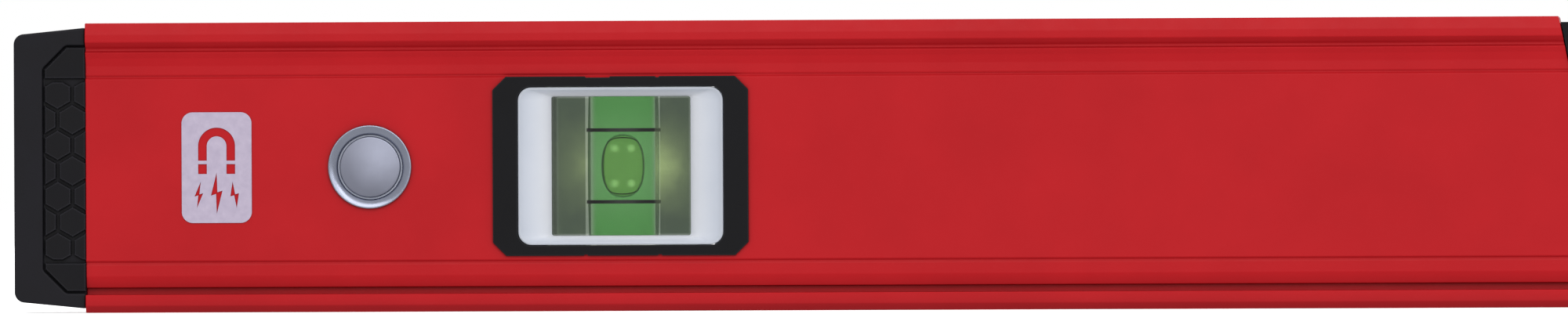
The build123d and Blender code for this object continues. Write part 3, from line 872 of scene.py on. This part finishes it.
def build_cap(side_name, sign_x):
    """One soft end cap: its body with the recessed panels, and the pads that stand in them."""
    inner = profile_high.x / MM
    corner_x = LEVEL_END - CAP_CORNER
    low_z = CAP_OUTER_GAP + CAP_CORNER
    outline = [(inner, CAP_INNER_GAP)]
    for corner_z, start in ((low_z, -90), (LEVEL_HEIGHT - low_z, 0)):
        for step in range(9):
            angle = math.radians(start + 90 * step / 8)
            outline.append((corner_x + CAP_CORNER * math.cos(angle), corner_z + CAP_CORNER * math.sin(angle)))
    outline.append((inner, LEVEL_HEIGHT - CAP_INNER_GAP))
    body = prism_y([(sign_x * x * MM, z * MM) for x, z in outline], -CAP_Y * MM, CAP_Y * MM)
    floor_y = CAP_Y - PANEL_DEPTH
    area = rectangle(inner - 3, 0, LEVEL_END + 10, LEVEL_HEIGHT)
    panel = [(sign_x * x * MM, z * MM) for x, z in clip(area, panel_planes(0))]
    cutters = [prism_y(panel, -REACH, -floor_y * MM), prism_y(panel, floor_y * MM, REACH)]
    head_low, head_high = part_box(f"end_cap_plug_{side_name}")
    head_outer = head_high.x if sign_x > 0 else -head_low.x
    pocket = rect_mm(PLUG_POCKET, (0, MID_Z), 2)
    ends = sorted((sign_x * (profile_high.x - 0.003), sign_x * (head_outer + 0.00005)))
    cutters.append(prism_x(pocket, ends[0], ends[1]))
    shell = carve(body, cutters)
    shell_obj = piece(
        f"end_cap_shell_{side_name}", shell, "level", f"end_cap_bumper_{side_name}", RUBBER
    )
    soften(shell_obj, 0.45, 28, 4)
    pads = joined(cap_pads(sign_x, -1) + cap_pads(sign_x, 1))
    pads_obj = piece(
        f"end_cap_pads_{side_name}", pads, "level", f"end_cap_bumper_{side_name}", PAD_RUBBER
    )
    smooth(pads_obj, 12)


for side_name, sign_x in (("left", -1), ("right", 1)):
    build_cap(side_name, sign_x)

# ---------- sticker

LABEL_RADIUS = 1.9
HORSESHOE_RADIUS = 3.2
HORSESHOE_LEG_WIDTH = 1.5
HORSESHOE_CENTRE_Z = 28.7
HORSESHOE_LEG_LENGTH = 2.5
POLE_GAP = 0.6
POLE_HEIGHT = 1.7
FLASHES = [(-3.1, 22.6, 4.6, 1.5, 0.35), (0, 24.2, 7.2, 2.0, 0.0), (3.1, 22.6, 4.6, 1.5, -0.35)]


def flash(x, top, height, width, lean):
    """A plain zigzag flash, leaning by lean, in millimetres."""
    mid = top - height / 2
    return [
        (x + lean, top),
        (x - width / 2, mid - 0.06 * height),
        (x - 0.06 * width, mid - 0.02 * height),
        (x - lean, top - height),
        (x + width / 2, mid + 0.06 * height),
        (x + 0.06 * width, mid + 0.02 * height),
    ]


def arch(radius, start, end, steps=32):
    """Points of the horseshoe's bend, with angles in degrees."""
    angles = [math.radians(start + (end - start) * k / steps) for k in range(steps + 1)]
    return [(radius * math.cos(a), HORSESHOE_CENTRE_Z + radius * math.sin(a)) for a in angles]


def build_label():
    """The pale sticker, with a plain horseshoe magnet and three flashes cut through it."""
    low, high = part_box("magnet_label_left")
    middle = (low + high) / 2
    outline = rounded_rect(high.x - low.x, high.z - low.z, LABEL_RADIUS * MM, (middle.x, middle.z), 10)
    plate = prism_y(outline, low.y, high.y)
    outer = HORSESHOE_RADIUS
    inner = outer - HORSESHOE_LEG_WIDTH
    foot = HORSESHOE_CENTRE_Z - HORSESHOE_LEG_LENGTH
    horseshoe = [(outer, foot), *arch(outer, 0, 180), (-outer, foot)]
    horseshoe += [(-inner, foot), *arch(inner, 180, 0), (inner, foot)]
    shapes = [horseshoe]
    pole_top = foot - POLE_GAP
    for side in (-1, 1):
        a, b = sorted((side * inner, side * outer))
        shapes.append(rectangle(a, pole_top - POLE_HEIGHT, b, pole_top))
    shapes += [flash(*values) for values in FLASHES]
    cutters = []
    for shape in shapes:
        points = [(middle.x + x * MM, z * MM) for x, z in shape]
        cutters.append(prism_y(points, -REACH, 0))
    mesh = carve(plate, cutters)
    obj = piece("magnet_sticker_left", mesh, "level", "magnet_label_left", FILM)
    soften(obj, 0.06, 40, 2)


build_label()

# ---------- magnets


def add_turned(name, profile, node, material, close=False):
    """A turned magnet piece, its front at the CAD node's front; profile is in millimetres."""
    low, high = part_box(node)
    middle = (low + high) / 2
    mesh = lathe([(r * MM, d * MM) for r, d in profile], (0, 1, 0), 128, close)
    obj = piece(name, mesh, "level", node, material)
    obj.location = (middle.x, low.y, middle.z)
    smooth(obj, 50)


MAGNET_RIM_RADIUS = 7.2
MAGNET_LIP_RADIUS = 6.95
MAGNET_WALL_RADIUS = 6.6
MAGNET_POCKET_RADIUS = 5.6
MAGNET_DISC_RADIUS = 5.25
MAGNET_CUP_DEPTH = 5.2
MAGNET_POCKET_DEPTH = 3.7


def build_cup(side_name):
    """The steel cup with its dished lip."""
    rim, lip = MAGNET_RIM_RADIUS, MAGNET_LIP_RADIUS
    wall, pocket = MAGNET_WALL_RADIUS, MAGNET_POCKET_RADIUS
    dish = [(lip - 0.05, 0.03), (6.68, 0.08), (6.42, 0.17), (6.15, 0.31), (5.92, 0.47), (5.74, 0.67)]
    cup = [
        (0.0, MAGNET_CUP_DEPTH), (wall - 0.4, MAGNET_CUP_DEPTH), (wall, MAGNET_CUP_DEPTH - 0.4),
        (wall, 0.62), (rim - 0.12, 0.6), (rim, 0.48), (rim, 0.14), (rim - 0.05, 0.04), (rim - 0.14, 0.0),
        *dish, (pocket + 0.02, 0.84), (pocket, 0.95),
        (pocket, MAGNET_POCKET_DEPTH), (0.0, MAGNET_POCKET_DEPTH),
    ]
    add_turned(f"magnet_shell_{side_name}", cup, f"magnet_cup_{side_name}", CUP_METAL)


def build_disc(side_name):
    """The magnet's face in the cup."""
    node = f"magnet_disc_{side_name}"
    low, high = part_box(node)
    thick = (high.y - low.y) / MM
    face = MAGNET_DISC_RADIUS
    disc = [
        (0.0, 0.0), (5.0, 0.0), (5.1, 0.02), (5.17, 0.06), (5.22, 0.13), (face, 0.24),
        (face, thick - 0.2), (face - 0.2, thick), (0.0, thick),
    ]
    add_turned(f"magnet_face_{side_name}", disc, node, FACE_METAL)


def build_resin(side_name):
    """The ring of resin between cup and magnet."""
    node = f"magnet_potting_{side_name}"
    low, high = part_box(node)
    depth = (high.y - low.y) / MM
    face, pocket = MAGNET_DISC_RADIUS, MAGNET_POCKET_RADIUS
    bead = [(face, 0.1), (5.31, 0.03), (5.42, 0.0), (5.54, 0.03), (pocket, 0.1)]
    ring = [*bead, (pocket, depth), (face, depth)]
    add_turned(f"magnet_resin_{side_name}", ring, node, RESIN, True)


for side_name in ("left", "right"):
    build_cup(side_name)
    build_disc(side_name)
    build_resin(side_name)

# ---------- plumb windows

BEZEL_CORNER = 2.3
BEZEL_NOTCHES = [(-3.9, 4.2, 1), (6.4, 0.6, 1), (-6.0, 0.6, -1), (6.8, 0.6, -1)]  # x, width, side
NOTCH_DEPTH = 0.2
TRAY_SEAT = (35.6, 27.4, 2.4)
COLLAR = (39.7, 29.1, 1.0)
TRAY_RADIUS = 2.3
TRAY_LIP = 0.4
TRAY_SLOPE_STEPS = 7
THROAT_RADIUS = 0.4
PLUMB_THROAT = (24.0, 24.0)
CENTRE_THROAT = (44.0, 15.0)


def octagon(width, height, corner):
    """A rectangle with its corners cut at 45 degrees, in millimetres."""
    w, h = width / 2, height / 2
    return [
        (w, -h + corner), (w, h - corner), (w - corner, h), (-w + corner, h),
        (-w, h - corner), (-w, -h + corner), (-w + corner, -h), (w - corner, -h),
    ]


def build_bezel(side_name, face, sign_y):
    """Black frame round a plumb window; face is front or back."""
    node = f"vial_bezel_{face}_{side_name}"
    low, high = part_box(node)
    middle = (low + high) / 2
    outer_y, inner_y = (low.y, high.y) if sign_y < 0 else (high.y, low.y)
    seat_y = sign_y * WEB_Y * MM
    width, height = (high.x - low.x) / MM, (high.z - low.z) / MM
    points = [(middle.x + x * MM, MID_Z + z * MM) for x, z in octagon(width, height, BEZEL_CORNER)]
    plate = prism_y(points, *sorted((outer_y, seat_y)))
    opening = rect_mm(TRAY_SEAT, (middle.x, MID_Z))
    cutters = [prism_y(opening, -REACH, REACH)]
    depth = NOTCH_DEPTH * MM
    for x, notch, side_z in BEZEL_NOTCHES:
        edge = MID_Z + side_z * height / 2 * MM
        x0, x1 = middle.x + (x - notch / 2) * MM, middle.x + (x + notch / 2) * MM
        cutters.append(prism_y(rectangle(x0, edge - depth, x1, edge + depth), -REACH, REACH))
    frame_mesh = carve(plate, cutters)
    front = piece(f"bezel_frame_{face}_{side_name}", frame_mesh, "level", node, BLACK)
    soften(front, 0.18, 28, 3)
    outer = rect_mm(COLLAR, (middle.x, MID_Z))
    collar = carve(prism_y(outer, *sorted((seat_y, inner_y))), [prism_y(opening, -REACH, REACH)])
    obj = piece(f"bezel_collar_{face}_{side_name}", collar, "level", node, BLACK)
    soften(obj, 0.1, 28, 2)


def build_tray(name, node, throat):
    """White reflector: a rounded frame whose inner faces slope in to the vial, lip rounded."""
    low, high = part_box(node)
    middle = (low + high) / 2
    mouth_y, throat_y = (low.y, high.y) if middle.y < 0 else (high.y, low.y)
    inward = 1 if middle.y < 0 else -1
    width, height = (high.x - low.x) / MM, (high.z - low.z) / MM

    def loop(w, h, radius, depth):
        y = mouth_y + inward * depth * MM
        return [(x, y, z) for x, z in rect_mm((w, h, radius), (middle.x, middle.z))]

    total = abs(throat_y - mouth_y) / MM
    lip = 2 * TRAY_LIP
    inside = TRAY_RADIUS - TRAY_LIP
    rim = [
        (0, TRAY_RADIUS, total), (0, TRAY_RADIUS, 0.12), (0.08, TRAY_RADIUS - 0.03, 0.03),
        (0.24, TRAY_RADIUS - 0.1, 0.0), (lip - 0.1, inside + 0.05, 0.0), (lip + 0.12, inside, 0.08),
    ]
    loops = [loop(width - trim, height - trim, radius, depth) for trim, radius, depth in rim]
    slope_width, slope_height = width - lip - 0.12, height - lip - 0.12
    for k in range(1, TRAY_SLOPE_STEPS + 1):
        t = k / TRAY_SLOPE_STEPS
        w = slope_width * (1 - t) + throat[0] * t
        h = slope_height * (1 - t) + throat[1] * t
        loops.append(loop(w, h, inside * (1 - t) + THROAT_RADIUS * t, 0.08 + (total - 0.08) * t))
    mesh = tube_of_loops(loops, close=True)
    obj = piece(name, mesh, "level", node, WHITE)
    smooth(obj, 40)


for side_name in ("left", "right"):
    for face, sign_y in (("front", -1), ("back", 1)):
        build_bezel(side_name, face, sign_y)
        node = f"vial_reflector_{face}_{side_name}"
        build_tray(f"reflector_{face}_{side_name}", node, PLUMB_THROAT)
for face in ("front", "back"):
    node = f"centre_vial_reflector_{face}"
    build_tray(f"reflector_{face}_centre", node, CENTRE_THROAT)

# ---------- vials

BUBBLE_SQUARENESS = 2.35  # 2 is an ellipse
PLUG_SEAT_RADIUS = 6.6
PLUG_RADIUS = 6.5
BORE_MID_RADIUS = 6.2
BORE_NARROWING = 0.2
FLUID_END_RADIUS = 5.98
LINE_OFFSET = 6.2
LINE_HALF_WIDTH = 0.3
LINE_INNER_RADIUS = 6.21
LINE_OUTER_RADIUS = 6.4


def bubble_profile(radius, half, count=28):
    """A closed profile with sides fuller than an ellipse's, as (radius, distance)."""
    points = []
    power = 2 / BUBBLE_SQUARENESS
    for k in range(count + 1):
        angle = math.pi * k / count
        c, s = math.cos(angle), math.sin(angle)
        r = radius * abs(s) ** power
        d = -half * math.copysign(abs(c) ** power, c)
        points.append((r if 0 < k < count else 0.0, d))
    return points


def build_block(side_name, along, material):
    """The clear block with a seat in one end, and the stopper in the seat."""
    node = f"vial_block_{side_name}"
    plug_node = f"vial_plug_{side_name}"
    low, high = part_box(node)
    half = (high - low) / 2
    plug_low, plug_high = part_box(plug_node)
    end = half.dot(Vector(along))
    start = end - (plug_high - plug_low).dot(Vector(along))
    seat = lathe(rectangle(0, start, PLUG_SEAT_RADIUS * MM, end + 0.001), along, 64)
    mesh = carve(prism_y(rectangle(-half.x, -half.z, half.x, half.z), -half.y, half.y), [seat])
    block = piece(f"acrylic_block_{side_name}", mesh, "level", node, material)
    block.location = (low + high) / 2
    soften(block, 0.3, 40, 3)
    radius = PLUG_RADIUS * MM
    profile = [
        (0, start), (radius - 0.00015, start), (radius, start + 0.00015),
        (radius, end - 0.0002), (radius - 0.0002, end), (0, end),
    ]
    mesh = lathe(profile, along, 64)
    stopper = piece(f"stopper_{side_name}", mesh, "level", plug_node, material)
    stopper.location = (low + high) / 2
    smooth(stopper, 40)


def build_fluid(side_name, along, material):
    """The fluid, a barrel that fills the bore."""
    node = f"vial_fluid_{side_name}"
    low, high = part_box(node)
    half = (high - low).dot(Vector(along)) / 2
    rounded = FLUID_END_RADIUS * MM
    flat = (FLUID_END_RADIUS - 0.13) * MM
    barrel = [(0.0, -half), (flat, -half), (rounded, -half + 0.0001)]
    for k in range(25):
        t = -1 + 2 * k / 24
        barrel.append(((BORE_MID_RADIUS - BORE_NARROWING * t * t) * MM, (half - 0.0003) * t))
    barrel += [(rounded, half - 0.0001), (flat, half), (0.0, half)]
    mesh = lathe(barrel, along, 128)
    obj = piece(f"fluid_{side_name}", mesh, "level", node, material)
    obj.location = (low + high) / 2
    smooth(obj, 40)


def build_bubble(side_name, along, material):
    """The bubble, which rides a body of its own."""
    node = f"vial_bubble_{side_name}"
    low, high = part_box(node)
    half = (high - low) / 2
    mesh = lathe(bubble_profile(half.y, half.dot(Vector(along))), along, 96)
    body = f"bubble_{side_name}"
    obj = piece(body, mesh, body, node, material)
    obj.location = (low + high) / 2
    smooth(obj, 60)


def build_lines(side_name, along):
    """The two black reading lines round the bore."""
    rings = []
    for side in (-1, 1):
        low = (side * LINE_OFFSET - LINE_HALF_WIDTH) * MM
        high = (side * LINE_OFFSET + LINE_HALF_WIDTH) * MM
        ring = rectangle(LINE_INNER_RADIUS * MM, low, LINE_OUTER_RADIUS * MM, high)
        rings.append(lathe(ring, along, 128, close=True))
    node = f"vial_lines_{side_name}"
    obj = piece(f"reading_lines_{side_name}", joined(rings), "level", node, INK)
    obj.location = centre_of(f"vial_block_{side_name}")
    smooth(obj, 40)


UPRIGHT = ((0, 0, 1), ACRYLIC, FLUID, BUBBLE)
LYING = ((1, 0, 0), ACRYLIC_LYING, FLUID_LYING, BUBBLE_LYING)
for side_name, kind in (("left", UPRIGHT), ("right", UPRIGHT), ("centre", LYING)):
    along, clear, dyed, bubble_look = kind
    build_block(side_name, along, clear)
    build_fluid(side_name, along, dyed)
    build_bubble(side_name, along, bubble_look)
    build_lines(side_name, along)

# ---------- centre housing

HOUSING_GAP = 0.15
CENTRE_TRAY_SEAT = (50.2, 19.2, 2.4)
TOP_SLOT = (40.0, 11.0, 3.0)
BLOCK_POCKET_GAP = 0.1


def build_housing():
    """The black housing in the centre cut-out, open to the front, the back and the top slot."""
    low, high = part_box("centre_vial_housing")
    body = prism_y(cutout_outline(HOUSING_GAP, high.z / MM), low.y, high.y)
    block_low, block_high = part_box("vial_block_centre")
    middle = (block_low + block_high) / 2
    tray = rect_mm(CENTRE_TRAY_SEAT, (0, middle.z))
    gap = BLOCK_POCKET_GAP * MM
    pocket = rectangle(block_low.x - gap, 0.01, block_high.x + gap, block_high.z)
    slot = rect_mm(TOP_SLOT, (0, 0), 8)
    cutters = [
        prism_y(tray, -REACH, REACH),
        prism_y(pocket, block_low.y - gap, block_high.y + gap),
        prism_z(slot, 0.03, HEIGHT + 0.01),
    ]
    mesh = carve(body, cutters)
    obj = piece("housing_centre", mesh, "level", "centre_vial_housing", BLACK)
    soften(obj, 0.4, 28, 3)


build_housing()

# ---------- carried-over CAD nodes

KEPT = {
    "end_cap_plug_left": PLUG,
    "end_cap_plug_right": PLUG,
    "centre_vial_retainer": BLACK,
}
for node, material in KEPT.items():
    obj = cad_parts[node]
    for material_slot in obj.material_slots:
        material_slot.link = "OBJECT"
        material_slot.material = material

# ---------- studio


def stage_plane(name, corners, material):
    """A flat stage piece, which isn't part of the level."""
    bm = bmesh.new()
    bm.faces.new([bm.verts.new(c) for c in corners])
    mesh = bpy.data.meshes.new(name)
    bm.to_mesh(mesh)
    bm.free()
    obj = bpy.data.objects.new(name, mesh)
    bpy.context.scene.collection.objects.link(obj)
    obj.data.materials.append(material)
    return obj


def pale_floor():
    """Plain pale floor, lit from within so that it stays near white."""
    n = Nodes("pale_floor")
    n.colour(n.tones(n.noise(3, 3), (0.86, 0.86, 0.865, 1), (0.88, 0.88, 0.885, 1)))
    n.roughness(n.noise(20, 2), 0.75, 0.85)
    n.set(Emission_Color=(1, 1, 1, 1), Emission_Strength=0.6)
    return n.material


floor = stage_plane("floor", [(-6, -6, 0), (6, -6, 0), (6, 6, 0), (-6, 6, 0)], pale_floor())
floor.visible_glossy = False
floor.visible_diffuse = False
floor.visible_transmission = False


def studio_world(backdrop, levels):
    """A white backdrop to the eye, seen through clear parts too, and round the object a dimmer room.

    levels are (height of the direction from -1 to 1, radiance) stops of the room."""
    world = bpy.data.worlds.new("studio")
    bpy.context.scene.world = world
    world.use_nodes = True
    tree = world.node_tree
    seen = tree.nodes["Background"]
    seen.inputs["Color"].default_value = (1, 1, 1, 1)
    seen.inputs["Strength"].default_value = backdrop
    kinds = (
        "Background", "TexCoord", "SeparateXYZ", "MapRange", "ValToRGB", "LightPath", "Math", "MixShader",
    )
    nodes = [tree.nodes.new("ShaderNode" + kind) for kind in kinds]
    room, place, split, rise, shade, path, either, mix = nodes
    rise.inputs["From Min"].default_value = -1
    set_stops(shade, [((height + 1) / 2, (level, level, level, 1)) for height, level in levels])
    either.operation = "MAXIMUM"
    links = [
        (place.outputs["Generated"], split.inputs[0]),
        (split.outputs["Z"], rise.inputs["Value"]),
        (rise.outputs["Result"], shade.inputs["Fac"]),
        (shade.outputs["Color"], room.inputs["Color"]),
        (path.outputs["Is Camera Ray"], either.inputs[0]),
        (path.outputs["Is Transmission Ray"], either.inputs[1]),
        (either.outputs[0], mix.inputs[0]),
        (room.outputs[0], mix.inputs[1]),
        (seen.outputs[0], mix.inputs[2]),
        (mix.outputs[0], tree.nodes["World Output"].inputs["Surface"]),
    ]
    for source, target in links:
        tree.links.new(source, target)


def area_light(name, place, aim, size, energy):
    """A rectangular white lamp at place, turned to aim, seen by neither the camera nor clear parts."""
    data = bpy.data.lights.new(name, "AREA")
    data.shape = "RECTANGLE"
    data.size, data.size_y = size
    data.energy = energy
    obj = bpy.data.objects.new(name, data)
    bpy.context.scene.collection.objects.link(obj)
    obj.location = place
    obj.rotation_euler = (Vector(aim) - Vector(place)).to_track_quat("-Z", "Y").to_euler()
    obj.visible_camera = False
    obj.visible_transmission = False


studio_world(1.0, [(-1, 0.68), (-0.1, 0.6), (0.1, 0.6), (1, 0.66)])
for side, name in ((-1, "front"), (1, "back")):
    x = 0.35
    area_light(f"softbox_{name}", (x, 1.8 * side, 1.2), (x, 0, 0.03), (2.6, 0.9), 18.0)
    area_light(f"fill_{name}", (x, 2.2 * side, 0.45), (x, 0, 0.03), (2.6, 0.5), 6.5)
area_light("softbox_top", (0, 0, 1.4), (0, 0, 0.03), (2.0, 0.5), 1.2)

# ---------- camera

CAMERA_DISTANCE = 2.6  # metres
VIEW_WIDTH = 269.5 * MM
VIEW_CENTRE = Vector((-166.85 * MM, -FLANGE_Y, 25.8 * MM))
ROLL = math.radians(0.25)

camera_data = bpy.data.cameras.new("camera")
camera = bpy.data.objects.new("camera", camera_data)
bpy.context.scene.collection.objects.link(camera)
camera.location = Vector((0, -CAMERA_DISTANCE, MID_Z))
aim = VIEW_CENTRE - camera.location
camera_data.sensor_width = 36
camera_data.lens = 36 * aim.length / VIEW_WIDTH
camera.rotation_mode = "QUATERNION"
camera.rotation_quaternion = aim.to_track_quat("-Z", "Y") @ Matrix.Rotation(-ROLL, 3, "Z").to_quaternion()
camera_data.clip_start, camera_data.clip_end = 0.1, 100
bpy.context.scene.camera = camera
bpy.context.scene.view_settings.view_transform = "Standard"
